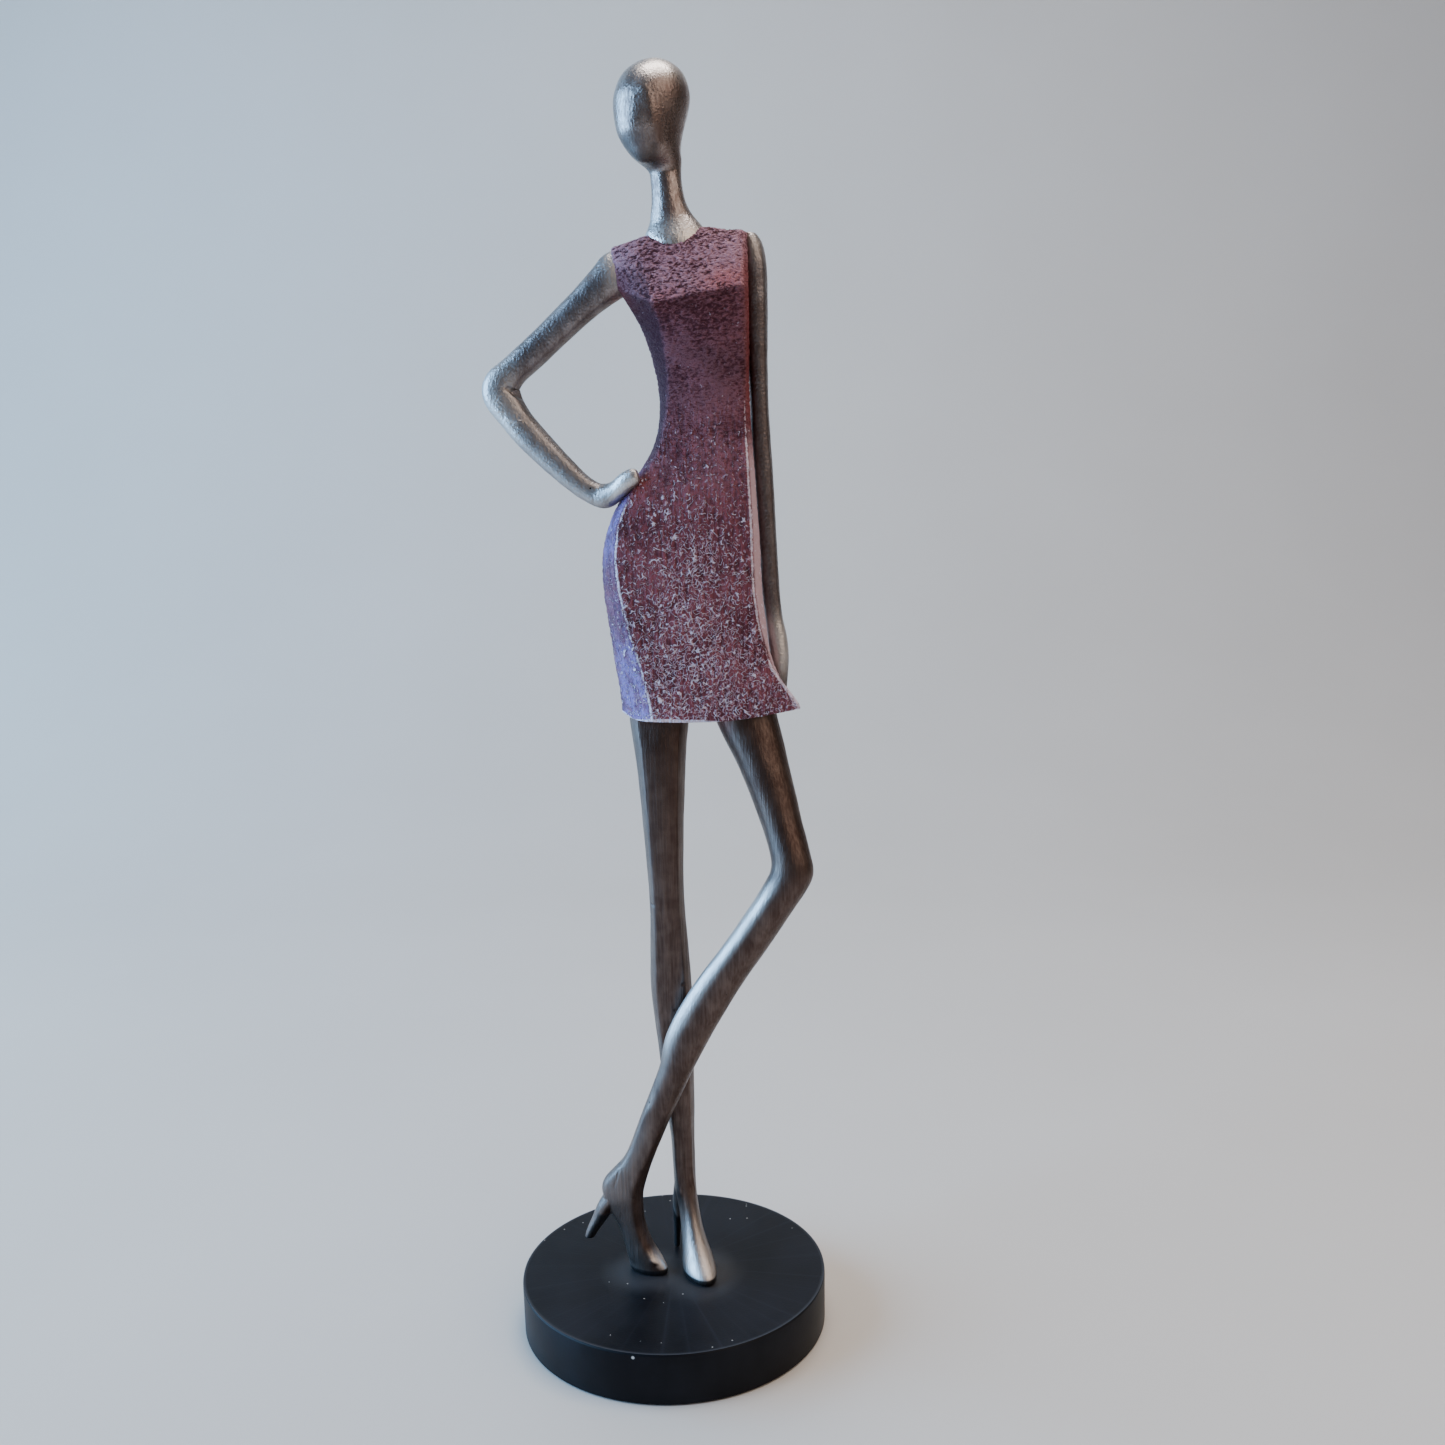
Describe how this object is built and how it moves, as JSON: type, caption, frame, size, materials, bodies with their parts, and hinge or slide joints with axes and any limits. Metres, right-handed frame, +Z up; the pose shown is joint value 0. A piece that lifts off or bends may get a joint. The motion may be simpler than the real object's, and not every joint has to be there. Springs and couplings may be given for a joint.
{
  "type": "standing figure statuette",
  "caption": "Tall slender faceless lady in a sleeveless dress, one hand on the hip and the legs crossed, in high heels on a round base.",
  "frame": {"origin": "centre of the felt underside that the statuette rests on", "axes": "+Z up through the figure, -Y the way the figure faces, +X towards the arm that hangs down"},
  "size_m": [0.1008, 0.1, 0.3915],
  "materials": {
    "base_black": "satin black paint on cast resin",
    "felt": "black adhesive felt",
    "steel": "bright drawn wire",
    "leg_paint": "dark bronze metallic paint, rubbed, on cast resin",
    "arm_paint": "pewter metallic paint, rubbed, on cast resin",
    "head_paint": "champagne silver metallic paint on cast resin",
    "dress_paint": "carved texture, marsala paint with pale dry-brushing"
  },
  "bodies": {
    "root": {"base_disc": "base_black", "felt_pad": "felt", "foot_studs": "steel", "fixing_nuts": "steel", "fixing_washers": "steel", "standing_leg": "leg_paint", "standing_leg_rod": "steel", "crossed_leg": "leg_paint", "crossed_leg_rod": "steel", "dress": "dress_paint", "head_and_neck": "head_paint", "neck_dowel": "steel", "bent_arm": "arm_paint", "bent_arm_wire": "steel", "straight_arm": "arm_paint", "straight_arm_wire": "steel", "hip_dowel": "steel"}
  },
  "joints": []
}
